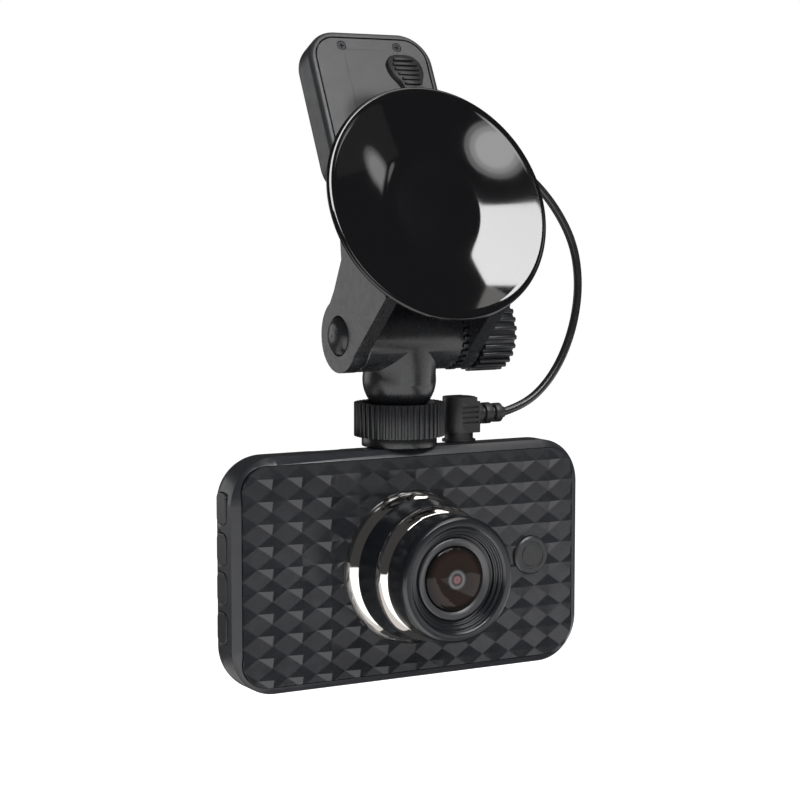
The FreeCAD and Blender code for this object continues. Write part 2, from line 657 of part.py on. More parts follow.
def badge():
    """Round boss with a plain ring groove."""
    profile = [(0, 0), (BADGE_R, 0), (BADGE_R, 1.2), (BADGE_R - 0.4, 1.5), (3.3, 1.5), (3.2, 1.3), (2.6, 1.3),
               (2.5, 1.5), (0, 1.5)]
    return turned(profile, Vector(BADGE_X, FRONT_Y + 0.6, BADGE_Z), Vector(0, -1, 0))


# Lens: profiles are (radius, distance forward of the valley plane)

def lens_piece(profile):
    return turned(profile, Vector(LENS_X, FRONT_Y, LENS_Z), Vector(0, -1, 0))


BACK_D = -PANEL_THICKNESS


def lens_flange():
    return lens_piece([(15.9, BACK_D), (FLANGE_R, BACK_D), (FLANGE_R, 1.2), (17.7, 1.9), (17.2, 3.2), (16.9, 3.45),
                       (15.9, 3.45)])


def lens_cone():
    return lens_piece([(LENS_TUBE_R + 0.05, BACK_D), (15.85, BACK_D), (15.85, 3.45), (16.4, 3.6), (16.4, 3.9),
                       (15.2, 9.8), (LENS_TUBE_R + 0.05, 9.8)])


def lens_trim_ring():
    return lens_piece([(LENS_TUBE_R + 0.05, 9.85), (15.25, 9.85), (15.56, 10.6), (15.56, 12.4), (15.3, 12.9),
                       (14.9, 13.2), (LENS_TUBE_R + 0.05, 13.2)])


def lens_barrel():
    return lens_piece([(5.1, -3.0), (LENS_TUBE_R, -3.0), (LENS_TUBE_R, 13.3), (14.3, 13.3), (14.4, 19.3),
                       (14.1, 20.2), (13.66, BARREL_FRONT_D), (11.8, BARREL_FRONT_D), (11.5, 20.0), (10.9, 19.9),
                       (10.7, 19.1), (10.1, 19.0), (9.9, 18.2), (9.3, 18.1), (9.3, 15.2), (6.6, 15.2), (6.6, 8.0),
                       (5.1, 8.0)])


def lens_retainer():
    return lens_piece([(7.4, 15.25), (9.25, 15.25), (9.25, 18.7), (9.0, 18.85), (7.5, 18.45), (7.4, 18.3)])


def front_lens():
    dome = [(7.3 * math.sin(a), 18.35 + 1.35 * math.cos(a)) for a in [math.pi / 2 * k / 6 for k in range(6, -1, -1)]]
    dome[-1] = (0, dome[-1][1])
    return lens_piece([(0, 16.6), (3.0, 16.4), (5.2, 15.8), (6.2, 15.3), (7.3, 15.3)] + dome)


def lens_spacer():
    return lens_piece([(5.2, 12.7), (6.55, 12.7), (6.55, 15.15), (6.0, 15.15), (5.2, 14.0)])


def middle_lens():
    return lens_piece([(0, 8.9), (3.0, 9.1), (6.5, 10.1), (6.5, 12.6), (4.6, 12.6), (3.0, 13.2), (0, 13.6)])


def rear_lens():
    return lens_piece([(0, 0.6), (3.0, 0.9), (5.05, 1.7), (5.05, 5.0), (3.0, 5.7), (0, 6.0)])


# Inside the camera

def lens_holder():
    return tube(12.4, 9.4, Vector(LENS_X, CAVITY_FRONT_Y + 0.05, LENS_Z), Vector(LENS_X, BOARD_Y, LENS_Z))


def image_sensor():
    base = block(LENS_X - 4.5, LENS_X + 4.5, 16.3, BOARD_Y, LENS_Z - 3.8, LENS_Z + 3.8)
    die = block(LENS_X - 2.9, LENS_X + 2.9, 16.0, 16.3, LENS_Z - 2.2, LENS_Z + 2.2)
    return base.fuse(die)


def main_board():
    board = block(-41.6, 41.0, BOARD_Y, BOARD_Y + BOARD_T, BODY_Z - 19.8, BODY_Z + 18.7)
    for x, z in screw_places():
        board = board.cut(rod(SCREW_BOSS_R + 0.25, Vector(x, 0, z), Vector(x, 40, z)))
        corner_x = math.copysign(SCREW_X, x)
        board = board.cut(block(min(corner_x, 1.3 * corner_x), max(corner_x, 1.3 * corner_x), 0, 40,
                                z - SCREW_BOSS_R - 0.25, z + SCREW_BOSS_R + 0.25))
    return max(board.Solids, key=lambda s: s.Volume)


def battery():
    cell = block(-18, 18, 18.6, 23.2, -99.5, -71.0)
    return cell.makeFillet(1.0, [e for e in cell.Edges if abs(e.tangentAt(e.FirstParameter).x) > 0.9])


def lcd_panel():
    return block(-33.0, 33.0, 23.6, 25.85, BODY_Z - 19.0, BODY_Z + 19.0)


def lcd_window():
    return rounded_slab(0, BODY_Z, WINDOW_W, WINDOW_H, 2.95, REAR_Y - 1.25, REAR_Y - 0.25)


def speaker():
    return turned([(0, 0), (7.0, 0), (7.0, 2.0), (5.5, 2.6), (0, 2.6)], Vector(29.5, BOARD_Y - 0.05, -93.0),
                  Vector(0, -1, 0))


def microphone():
    return rod(2.0, Vector(25.0, BOARD_Y - 1.5, -67.5), Vector(25.0, BOARD_Y, -67.5))


def usb_port():
    top = BODY_Z + BODY_H / 2 - WALL
    shell = rounded_box_z(USB_X, USB_Y, 7.8, 3.3, 0.6, top - 8.0, top + 0.6)
    mouth = rounded_box_z(USB_X, USB_Y, 7.1, 2.6, 0.4, top - 6.4, top + 1)
    tongue = block(USB_X - 2.4, USB_X + 2.4, USB_Y - 0.35, USB_Y + 0.35, top - 6.6, top - 0.8)
    return shell.cut(mouth).fuse(tongue)


def gps_jack():
    top = BODY_Z + BODY_H / 2 - WALL
    case = block(JACK_X - 3.7, JACK_X + 3.7, JACK_Y - 3.6, JACK_Y + 3.2, top - 6.0, top - 0.05)
    return case.cut(rod(1.8, Vector(JACK_X, JACK_Y, top - 5.4), Vector(JACK_X, JACK_Y, top + 1)))


def card_room(grow):
    """The card's flat space in the socket and the wall."""
    end_x = BODY_W / 2 + 0.4
    return block(end_x - CARD_L - grow, end_x + 5 * grow, CARD_Y - CARD_T / 2 - grow, CARD_Y + CARD_T / 2 + grow,
                 CARD_Z - CARD_W / 2 - grow, CARD_Z + CARD_W / 2 + grow)


def microsd_card():
    end_x = BODY_W / 2 + 0.4
    card = card_room(0)
    step = block(end_x - CARD_L, end_x - CARD_L + 6, 0, 40, CARD_Z + CARD_W / 2 - 1.2, CARD_Z + CARD_W / 2)
    return card.cut(step)


def microsd_socket():
    wall_x = BODY_W / 2 - WALL
    case = block(wall_x - 14.6, wall_x - 0.2, BOARD_Y + BOARD_T + 0.02, 20.2, CARD_Z - 7.2, CARD_Z + 7.2)
    return case.cut(card_room(0.15)).cut(block(wall_x - 3, wall_x + 3, CARD_Y - 0.55, CARD_Y + 0.55,
                                               CARD_Z - 5.65, CARD_Z + 5.65))


def mount_insert():
    top = BODY_Z + BODY_H / 2
    return tube(INSERT_R, STUD_R + RUN_FIT, Vector(0, STUD_Y, top - 6.0), Vector(0, STUD_Y, top - 0.42))


# Buttons

def button(z):
    """A side button with a flange inside the wall that keeps it in."""
    wall_out = -BODY_W / 2
    pad = button_outline(0, z).common(block(wall_out - BUTTON_PROUD, wall_out + 2.4, 0, 40, -130, 0))
    pad = pad.makeFillet(0.2, edges_at(pad, "x", wall_out - BUTTON_PROUD))
    flange = button_outline(0.7, z).common(block(wall_out + WALL + 0.1, wall_out + 2.6, 0, 40, -130, 0))
    flange = flange.common(body_slab(WALL + 0.12, 0, 40))
    return pad.fuse(flange).removeSplitter()


def tact_switches():
    switches = []
    for z in BUTTON_Z:
        case = block(-42.2, -39.9, 15.7, BOARD_Y - 0.02, z - 2.6, z + 2.6)
        plunger = block(-42.72, -42.1, 16.0, 17.0, z - 0.9, z + 0.9)
        switches.append(case.fuse(plunger))
    return Part.makeCompound(switches)


# Plug and lead

def plug_body():
    """The lead's right-angle plug: a thin collar on the case, a post and a rounded block."""
    top = BODY_Z + BODY_H / 2
    collar = rod(4.0, Vector(JACK_X, JACK_Y, top + 0.03), Vector(JACK_X, JACK_Y, top + 0.6))
    post = rod(3.4, Vector(JACK_X, JACK_Y, top + 0.3), Vector(JACK_X, JACK_Y, PLUG_BOTTOM_Z + 1))
    drum = rod(PLUG_R, Vector(JACK_X, JACK_Y, PLUG_BOTTOM_Z), Vector(JACK_X, JACK_Y, PLUG_TOP_Z))
    block_part = block(JACK_X, PLUG_RIGHT_X, JACK_Y - PLUG_R, JACK_Y + PLUG_R, PLUG_BOTTOM_Z, PLUG_TOP_Z - 1.0)
    cap_part = block(JACK_X, PLUG_RIGHT_X - 0.8, JACK_Y - PLUG_R, JACK_Y + PLUG_R, PLUG_TOP_Z - 1.5, PLUG_TOP_Z)
    drum = drum.common(block(0, PLUG_RIGHT_X, 0, 40, -60, -40))
    body = fuse_all([collar, post, drum, block_part, cap_part])
    depth = PLUG_GROOVE_DEPTH
    for z in PLUG_GROOVE_Z:
        for y in (JACK_Y - PLUG_R, JACK_Y + PLUG_R):
            groove = block(JACK_X - 1.2, PLUG_RIGHT_X - 0.5, y - depth, y + depth, z, z + PLUG_GROOVE_WIDTH)
            body = body.cut(groove)
    return body.cut(rod(1.5, Vector(JACK_X, JACK_Y, top - 1), Vector(JACK_X, JACK_Y, PLUG_BOTTOM_Z + 3)))


def plug_pin():
    top = BODY_Z + BODY_H / 2
    shaft = rod(1.5, Vector(JACK_X, JACK_Y, top - 4.4), Vector(JACK_X, JACK_Y, PLUG_BOTTOM_Z + 3))
    tip = turned([(0, 0), (1.5, 0), (1.1, 0.6), (1.4, 1.2), (0.5, 2.4), (0, 2.5)],
                 Vector(JACK_X, JACK_Y, top - 4.4), Vector(0, 0, -1))
    return shaft.fuse(tip)


def plug_relief():
    """Ribbed strain relief that tapers towards the lead."""
    length = RELIEF_END_X - PLUG_RIGHT_X
    rib_count = 3
    pitch = length / rib_count
    profile = [(0, 0)]
    for k in range(rib_count):
        r = 2.8 - 0.25 * k
        x = pitch * k
        profile += [(r, x), (r, x + 0.58 * pitch), (r - 0.95, x + 0.68 * pitch), (r - 0.95, x + 0.92 * pitch)]
    profile[-1] = (profile[-1][0], length)
    profile += [(0, length)]
    return turned(profile, Vector(PLUG_RIGHT_X, JACK_Y, LEAD_Z), X_AXIS)


# The lead's route, from the plug's relief up and round to the module's gland. It is one line of
# straight runs with tangent arcs. The joint between the two spans lies on the run LEAD_SPLIT.
LEAD_ROUTE = [
    (29.0, 19.25, -50.2),
    (34.4, 19.3, -49.0),
    (40.9, 19.5, -44.8),
    (46.4, 19.8, -37.9),
    (50.2, 20.2, -29.0),
    (51.8, 20.8, -19.5),
    (50.8, 21.8, -10.0),
    (46.4, 23.3, -1.2),
    (40.0, 24.7, 6.0),
    (32.0, 25.6, 11.0),
    (23.0, 25.7, 12.1),
]
LEAD_SPLIT = 4


def lead_path(points):
    """A wire of straight runs joined by tangent arcs, with each arc's radius."""
    edges = []
    radii = []
    here = points[0]
    for before, corner, after in zip(points, points[1:], points[2:]):
        back = (before - corner).normalize()
        ahead = (after - corner).normalize()
        shorter = min((before - corner).Length, (after - corner).Length)
        cut = 0.45 * shorter
        half_turn = (math.pi - back.getAngle(ahead)) / 2
        radius = cut / math.tan(half_turn)
        start = corner + back * cut
        end = corner + ahead * cut
        towards = (back + ahead).normalize()
        middle = corner + towards * (radius / math.cos(half_turn) - radius)
        edges.append(Part.LineSegment(here, start).toShape())
        edges.append(Part.Arc(start, middle, end).toShape())
        radii.append(radius)
        here = end
    edges.append(Part.LineSegment(here, points[-1]).toShape())
    return Part.Wire(edges), radii


def lead_span(name, points):
    wire, radii = lead_path(points)
    along = (points[1] - points[0]).normalize()
    section = Part.Wire(Part.makeCircle(LEAD_R, points[0], along))
    solid = wire.makePipeShell([section], True, True)
    expected = math.pi * LEAD_R ** 2 * wire.Length
    print("%s: length %.1f mm, radii %s" % (name, wire.Length, " ".join("%.1f" % r for r in radii)))
    print("%s: volume %.2f, section times length %.2f" % (name, solid.Volume, expected))
    return solid


def lead_points():
    """The route's points, with the point where the two spans meet."""
    points = [Vector(*p) for p in LEAD_ROUTE]
    meet = (points[LEAD_SPLIT] + points[LEAD_SPLIT + 1]) * 0.5
    return points[:LEAD_SPLIT + 1] + [meet], [meet] + points[LEAD_SPLIT + 1:]


def build():
    print("hinge at y %.3f z %.3f" % (HINGE.y, HINGE.z))
    print("gland tip", module_point(GLAND_TIP_X, GLAND_BACK, -GLAND_DROP))
    save("suction_cup", suction_cup())
    save("cup_stem", cup_stem())
    save("lever_pin", lever_pin())
    save("stem_spring", stem_spring())
    save("lock_lever", lock_lever())
    save("mount_base", mount_base())
    save("hinge_bolt", hinge_bolt())
    save("friction_washer", friction_washer())
    save("neck", neck())
    save("mount_stud", mount_stud())
    save("lock_ring", lock_ring())
    save("lock_washer", lock_washer())
    save("knob_washer", knob_washer())
    save("knob_nut", knob_nut())
    save("clamp_knob", clamp_knob())
    save("gps_housing", gps_housing())
    save("gps_cover", gps_cover())
    save("gps_cover_screws", gps_cover_screws())
    save("gps_board", gps_board())
    save("gps_antenna", gps_antenna())
    save("gps_lead_gland", gps_lead_gland())
    body = hollow_body()
    save("front_shell", front_shell(body))
    save("rear_shell", rear_shell(body))
    save("shell_screws", shell_screws())
    save("front_panel", front_panel())
    save("badge", badge())
    for node, make in (("lens_flange", lens_flange), ("lens_cone", lens_cone), ("lens_trim_ring", lens_trim_ring),
                       ("lens_barrel", lens_barrel), ("lens_retainer", lens_retainer), ("front_lens", front_lens),
                       ("lens_spacer", lens_spacer), ("middle_lens", middle_lens), ("rear_lens", rear_lens),
                       ("lens_holder", lens_holder), ("image_sensor", image_sensor), ("main_board", main_board),
                       ("battery", battery), ("lcd_panel", lcd_panel), ("lcd_window", lcd_window),
                       ("speaker", speaker), ("microphone", microphone), ("usb_port", usb_port),
                       ("gps_jack", gps_jack), ("microsd_card", microsd_card), ("microsd_socket", microsd_socket),
                       ("mount_insert", mount_insert), ("tact_switches", tact_switches), ("plug_body", plug_body),
                       ("plug_pin", plug_pin), ("plug_relief", plug_relief)):
        save(node, make())
    for number, z in enumerate(BUTTON_Z, 1):
        save("side_button_%d" % number, button(z))
    lower, upper = lead_points()
    save("gps_lead_lower", lead_span("gps_lead_lower", lower))
    save("gps_lead_upper", lead_span("gps_lead_upper", upper))


build()
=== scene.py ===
import math

import bmesh
import bpy
from mathutils import Matrix, Vector


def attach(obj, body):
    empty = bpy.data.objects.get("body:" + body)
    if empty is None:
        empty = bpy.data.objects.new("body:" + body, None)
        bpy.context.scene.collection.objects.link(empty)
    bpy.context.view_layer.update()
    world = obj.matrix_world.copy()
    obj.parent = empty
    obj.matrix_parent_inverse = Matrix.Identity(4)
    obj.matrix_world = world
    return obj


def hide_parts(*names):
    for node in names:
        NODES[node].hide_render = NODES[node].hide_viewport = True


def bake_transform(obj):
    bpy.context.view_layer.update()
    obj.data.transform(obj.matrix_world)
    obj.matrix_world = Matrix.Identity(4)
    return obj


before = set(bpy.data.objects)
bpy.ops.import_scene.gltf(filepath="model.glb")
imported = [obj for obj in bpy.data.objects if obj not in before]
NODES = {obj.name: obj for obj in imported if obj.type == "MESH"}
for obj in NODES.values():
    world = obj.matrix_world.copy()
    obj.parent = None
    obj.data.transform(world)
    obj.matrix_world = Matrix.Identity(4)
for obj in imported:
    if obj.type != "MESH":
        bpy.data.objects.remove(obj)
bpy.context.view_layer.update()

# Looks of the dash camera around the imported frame. Lengths are metres; MM turns millimetres into them.
MM = 0.001

# The windshield frame is x, back from the glass, and up along the glass.
GLASS_LEAN = math.radians(20.8)
LENS_CENTRE = Vector((-0.4, 11.25, -84.13)) * MM
DOME_R = 7.3
FORWARD = Vector((0, -1, 0))


# ---------------------------------------------------------------- helpers

def glass_point(x, back, up):
    """A point of the windshield frame, in millimetres, as a row-frame point in metres."""
    c, s = math.cos(GLASS_LEAN), math.sin(GLASS_LEAN)
    return Vector((x, c * back + s * up, c * up - s * back)) * MM


def add_object(name, mesh, material, smooth_angle=32):
    obj = bpy.data.objects.new(name, mesh)
    bpy.context.scene.collection.objects.link(obj)
    mesh.materials.append(material)
    mesh.shade_smooth()
    mesh.set_sharp_from_angle(angle=math.radians(smooth_angle))
    return obj


def mesh_from(name, verts, faces):
    mesh = bpy.data.meshes.new(name)
    mesh.from_pydata([tuple(v) for v in verts], [], faces)
    bm = bmesh.new()
    bm.from_mesh(mesh)
    bmesh.ops.recalc_face_normals(bm, faces=bm.faces)
    bm.to_mesh(mesh)
    bm.free()
    return mesh


def rounded_corners(points, radius, closed=True, steps=4):
    """The outline with each corner cut by a short curve."""
    out = []
    count = len(points)
    for i, p in enumerate(points):
        p = Vector(p)
        if not closed and i in (0, count - 1):
            out.append(p)
            continue
        before, after = Vector(points[i - 1]) - p, Vector(points[(i + 1) % count]) - p
        reach = min(radius, before.length * 0.45, after.length * 0.45)
        a, b = p + before.normalized() * reach, p + after.normalized() * reach
        for k in range(steps + 1):
            t = k / steps
            out.append(a * (1 - t) ** 2 + p * 2 * t * (1 - t) + b * t ** 2)
    return out


def lathe_mesh(name, profile, start, axis, closed=True, segments=160):
    """Turn (radius, distance) points, in millimetres, about an axis through start."""
    axis = Vector(axis).normalized()
    side = axis.orthogonal().normalized()
    other = axis.cross(side)
    verts, rings = [], []
    for r, d in profile:
        centre = start + axis * d * MM
        if r < 1e-6:
            rings.append([len(verts)])
            verts.append(centre)
            continue
        ring = []
        for k in range(segments):
            a = 2 * math.pi * k / segments
            ring.append(len(verts))
            verts.append(centre + (side * math.cos(a) + other * math.sin(a)) * r * MM)
        rings.append(ring)
    pairs = list(zip(rings, rings[1:] + rings[:1])) if closed else list(zip(rings, rings[1:]))
    faces = []
    for low, high in pairs:
        if len(low) == 1 and len(high) == 1:
            continue
        for k in range(segments):
            n = (k + 1) % segments
            corners = [low[k % len(low)], low[n % len(low)], high[n % len(high)], high[k % len(high)]]
            faces.append(list(dict.fromkeys(corners)))
    return mesh_from(name, verts, faces)


def soften(node, width, angle):
    """Rounds a CAD node's edges for the eye with modifiers; its mesh stays as it is."""
    obj = NODES[node]
    weld = obj.modifiers.new("weld", "WELD")
    weld.merge_threshold = 1e-6
    bevel = obj.modifiers.new("soft_edges", "BEVEL")
    bevel.width = width * MM
    bevel.segments = 2
    bevel.limit_method = "ANGLE"
    bevel.angle_limit = math.radians(angle)
    bevel.use_clamp_overlap = True


# ---------------------------------------------------------------- camera

def make_camera():
    place = Vector((-238.32, -403.51, -0.75)) * MM
    target = Vector((-3.94, 11.25, -45.19)) * MM
    back = (place - target).normalized()
    right = Vector((0, 0, 1)).cross(back).normalized()
    up = back.cross(right)
    data = bpy.data.cameras.new("camera")
    data.lens = 94.02
    data.sensor_width = 36
    data.clip_start = 0.01
    camera = bpy.data.objects.new("camera", data)
    bpy.context.scene.collection.objects.link(camera)
    camera.matrix_world = Matrix((
        (right.x, up.x, back.x, place.x),
        (right.y, up.y, back.y, place.y),
        (right.z, up.z, back.z, place.z),
        (0, 0, 0, 1),
    ))
    bpy.context.scene.camera = camera


make_camera()


# ---------------------------------------------------------------- materials

class Finish:
    """A Principled material whose colour, roughness and bump come from procedural nodes."""

    def __init__(self, name, colour, roughness, metallic=0.0, specular=0.5):
        self.material = bpy.data.materials.new(name)
        self.material.use_nodes = True
        self.tree = self.material.node_tree
        self.shader = self.tree.nodes["Principled BSDF"]
        self.put("Base Color", (*colour, 1))
        self.put("Roughness", roughness)
        self.put("Metallic", metallic)
        self.put("Specular IOR Level", specular)
        self.put("IOR", 1.5)
        self.colour, self.roughness = colour, roughness
        self.place = self.node("ShaderNodeTexCoord").outputs["Object"]

    def node(self, kind, **values):
        made = self.tree.nodes.new(kind)
        for key, value in values.items():
            setattr(made, key, value)
        return made

    def link(self, out, into):
        self.tree.links.new(out, into)

    def put(self, socket, value):
        self.shader.inputs[socket].default_value = value

    def noise(self, scale, detail, roughness=0.55):
        made = self.node("ShaderNodeTexNoise")
        made.inputs["Scale"].default_value = scale
        made.inputs["Detail"].default_value = detail
        made.inputs["Roughness"].default_value = roughness
        self.link(self.place, made.inputs["Vector"])
        return made.outputs["Fac"]

    def colour_ramp(self, value, stops):
        """Base colour by value: stops are (position, colour) pairs, first to last."""
        ramp = self.node("ShaderNodeValToRGB")
        elements = ramp.color_ramp.elements
        ends = (elements[0], stops[0]), (elements[1], stops[-1])
        for element, (position, colour) in ends:
            element.position = position
            element.color = (*colour, 1)
        for position, colour in stops[1:-1]:
            elements.new(position).color = (*colour, 1)
        self.link(value, ramp.inputs["Fac"])
        self.link(ramp.outputs["Color"], self.shader.inputs["Base Color"])
        return self

    def vary_colour(self, scale, low, high):
        """Colour runs between low and high times the base colour."""
        stops = [(0.3, [c * low for c in self.colour]), (0.7, [c * high for c in self.colour])]
        return self.colour_ramp(self.noise(scale, 3.0), stops)

    def vary_roughness(self, scale, spread):
        span = self.node("ShaderNodeMapRange")
        span.inputs["From Min"].default_value = 0.3
        span.inputs["From Max"].default_value = 0.7
        span.inputs["To Min"].default_value = max(0.01, self.roughness - spread)
        span.inputs["To Max"].default_value = self.roughness + spread
        self.link(self.noise(scale, 4.0), span.inputs["Value"])
        self.link(span.outputs["Result"], self.shader.inputs["Roughness"])
        return self

    def grain(self, pitch, depth):
        """The fine texture of a moulded face: bumps of that pitch and depth in millimetres."""
        made = self.node("ShaderNodeBump")
        made.inputs["Strength"].default_value = 1.0
        made.inputs["Distance"].default_value = depth * MM
        self.link(self.noise(1 / (pitch * MM), 2.0, 0.5), made.inputs["Height"])
        self.link(made.outputs["Normal"], self.shader.inputs["Normal"])
        return self


def moulded(name, colour, roughness, pitch=0.22, depth=0.012):
    made = Finish(name, colour, roughness)
    made.vary_colour(160, 0.88, 1.12).vary_roughness(420, 0.045)
    return made.grain(pitch, depth)


def painted_metal(name, colour, roughness):
    made = Finish(name, colour, roughness, specular=0.6)
    made.vary_colour(90, 0.9, 1.1).vary_roughness(300, 0.02)
    return made.grain(0.2, 0.0015)


def metal(name, colour, roughness, spread=0.04):
    made = Finish(name, colour, roughness, metallic=1.0)
    return made.vary_colour(140, 0.95, 1.04).vary_roughness(600, spread)


def coated_lens_painted_iris(name):
    """Dark coated glass, near black, with painted light round the lens axis: a painted grey iris ring that
    stands in for the lit inner ring, a warm pupil that is a painted reflection of the inner coatings, and
    darker towards the rim.
    """
    made = Finish(name, (0.010, 0.007, 0.006), 0.04, specular=0.17)
    offset = made.node("ShaderNodeVectorMath", operation="SUBTRACT")
    made.link(made.place, offset.inputs[0])
    offset.inputs[1].default_value = LENS_CENTRE
    across = made.node("ShaderNodeVectorMath", operation="CROSS_PRODUCT")
    made.link(offset.outputs["Vector"], across.inputs[0])
    across.inputs[1].default_value = FORWARD
    radius = made.node("ShaderNodeVectorMath", operation="LENGTH")
    made.link(across.outputs["Vector"], radius.inputs[0])
    share = made.node("ShaderNodeMath", operation="MULTIPLY")
    made.link(radius.outputs["Value"], share.inputs[0])
    share.inputs[1].default_value = 1 / (DOME_R * MM)
    # Painted light by distance from the lens axis: a warm pupil as a painted coating reflection, then a painted
    # lit grey iris ring, then darker towards the rim.
    stops = ((0.0, (0.09, 0.055, 0.055)), (0.10, (0.13, 0.065, 0.068)), (0.15, (0.02, 0.016, 0.017)),
             (0.19, (0.045, 0.045, 0.047)), (0.24, (0.10, 0.10, 0.105)), (0.29, (0.05, 0.05, 0.052)),
             (0.33, (0.014, 0.011, 0.010)), (0.75, (0.018, 0.012, 0.010)), (1.0, (0.004, 0.0035, 0.0035)))
    return made.colour_ramp(share.outputs["Value"], stops).vary_roughness(500, 0.01)


def printed_board(name, colour):
    """Solder mask with copper tracks that show as faint lines."""
    made = Finish(name, colour, 0.35)
    tracks = made.node("ShaderNodeTexVoronoi", feature="DISTANCE_TO_EDGE", distance="MANHATTAN")
    tracks.inputs["Scale"].default_value = 420
    made.link(made.place, tracks.inputs["Vector"])
    stops = ((0.04, [c * 2.2 for c in colour]), (0.09, colour))
    return made.colour_ramp(tracks.outputs["Distance"], stops).vary_roughness(500, 0.05)


def make_finishes():
    made = {
        "case_plastic": moulded("case_plastic", (0.0165, 0.0175, 0.0205), 0.32, 0.16, 0.005),
        "panel_plastic": moulded("panel_plastic", (0.0115, 0.0122, 0.0142), 0.22, 0.3, 0.002),
        "badge_plastic": moulded("badge_plastic", (0.02, 0.0205, 0.022), 0.33, 0.3, 0.004),
        "bright_metal": metal("bright_metal", (0.82, 0.79, 0.76), 0.07, 0.02),
        "barrel_paint": painted_metal("barrel_paint", (0.006, 0.0068, 0.0085), 0.24),
        "retainer_paint": painted_metal("retainer_paint", (0.034, 0.0345, 0.037), 0.32),
        "lens_glass": coated_lens_painted_iris("lens_glass"),
        "window_glass": Finish("window_glass", (0.004, 0.004, 0.005), 0.05).vary_roughness(200, 0.015),
        "screen": Finish("screen", (0.006, 0.007, 0.01), 0.2).vary_colour(60, 0.8, 1.25),
        "board_green": printed_board("board_green", (0.01, 0.06, 0.025)),
        "black_moulding": moulded("black_moulding", (0.014, 0.014, 0.015), 0.45),
        "port_steel": metal("port_steel", (0.55, 0.55, 0.55), 0.3),
        "cell_wrap": moulded("cell_wrap", (0.12, 0.13, 0.16), 0.35, 0.5, 0.01),
        "ceramic": moulded("ceramic", (0.5, 0.46, 0.38), 0.5, 0.2, 0.01),
        "insert_brass": metal("insert_brass", (0.75, 0.55, 0.25), 0.32),
        "stud_steel": metal("stud_steel", (0.45, 0.45, 0.46), 0.28),
        "mount_plastic": moulded("mount_plastic", (0.0125, 0.013, 0.0145), 0.28, 0.2, 0.004),
        "knob_plastic": moulded("knob_plastic", (0.008, 0.0085, 0.0105), 0.36, 0.18, 0.006),
        "cup_rubber": Finish("cup_rubber", (0.0035, 0.0035, 0.004), 0.05).vary_roughness(60, 0.015),
        "module_plastic": moulded("module_plastic", (0.021, 0.0218, 0.0245), 0.40, 0.18, 0.006),
        "screw_steel": metal("screw_steel", (0.03, 0.03, 0.033), 0.35),
        "lead_jacket": moulded("lead_jacket", (0.010, 0.010, 0.011), 0.26, 0.5, 0.004),
        "plug_plastic": moulded("plug_plastic", (0.012, 0.0122, 0.0135), 0.45, 0.14, 0.008),
        "spring_steel": metal("spring_steel", (0.5, 0.5, 0.5), 0.25),
    }
    return {slot: finish.material for slot, finish in made.items()}


FINISHES = make_finishes()


def dress_cad_nodes():
    """Every CAD node takes the finish of its slot in the record."""
    for node in NODES.values():
        slot = node.data.materials[0].name
        node.data.materials[0] = FINISHES[slot.split(".")[0]]


dress_cad_nodes()


# ---------------------------------------------------------------- lead

LEAD_RADIUS = 1.0 * MM
LEAD_ROUTE = [
    (29.0, 19.25, -50.2), (34.4, 19.3, -49.0), (40.9, 19.5, -44.8), (46.4, 19.8, -37.9), (50.2, 20.2, -29.0),
    (51.8, 20.8, -19.5), (50.8, 21.8, -10.0), (46.4, 23.3, -1.2), (40.0, 24.7, 6.0), (32.0, 25.6, 11.0),
    (23.0, 25.7, 12.1),
]
LEAD_SPLIT = (51.0, 20.5, -24.25)     # halfway between the route's fifth and sixth points
LOWER_LEAD = LEAD_ROUTE[:5] + [LEAD_SPLIT]
UPPER_LEAD = [LEAD_SPLIT] + LEAD_ROUTE[5:]


def spline_points(name, route):
    """Points of the smooth line that the route's points pull."""
    curve = bpy.data.curves.new(name, "CURVE")
    curve.dimensions = "3D"
    curve.resolution_u = 16
    spline = curve.splines.new("NURBS")
    spline.points.add(len(route) - 1)
    for point, place in zip(spline.points, route):
        point.co = (*[c * MM for c in place], 1)
    spline.order_u = 3
    spline.use_endpoint_u = True
    holder = bpy.data.objects.new(name, curve)
    mesh = bpy.data.meshes.new_from_object(holder)
    line = [v.co.copy() for v in mesh.vertices]
    bpy.data.meshes.remove(mesh)
    bpy.data.objects.remove(holder)
    return line


def tube_mesh(name, line, radius, sides=28):
    verts, faces = [], []
    side = (line[1] - line[0]).orthogonal().normalized()
    for i, centre in enumerate(line):
        ahead = (line[min(i + 1, len(line) - 1)] - line[max(i - 1, 0)]).normalized()
        side = (side - ahead * side.dot(ahead)).normalized()
        other = ahead.cross(side)
        for k in range(sides):
            a = 2 * math.pi * k / sides
            verts.append(centre + (side * math.cos(a) + other * math.sin(a)) * radius)
    for i in range(len(line) - 1):
        for k in range(sides):
            n = (k + 1) % sides
            faces.append([i * sides + k, i * sides + n, (i + 1) * sides + n, (i + 1) * sides + k])
    faces.append(list(range(sides)))
    faces.append([(len(line) - 1) * sides + k for k in range(sides)])
    return mesh_from(name, verts, faces)


def make_lead(name, route, node):
    line = spline_points(name, route)
    tube = add_object(name, tube_mesh(name, line, LEAD_RADIUS), FINISHES["lead_jacket"], 60)
    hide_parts(node)
    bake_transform(tube)


make_lead("lead_lower", LOWER_LEAD, "gps_lead_lower")
make_lead("lead_upper", UPPER_LEAD, "gps_lead_upper")


# ---------------------------------------------------------------- suction cup

CUP_R = 27.8
CUP_LIP_R = 26.4
BACK_AXIS = glass_point(0, 1, 0).normalized()


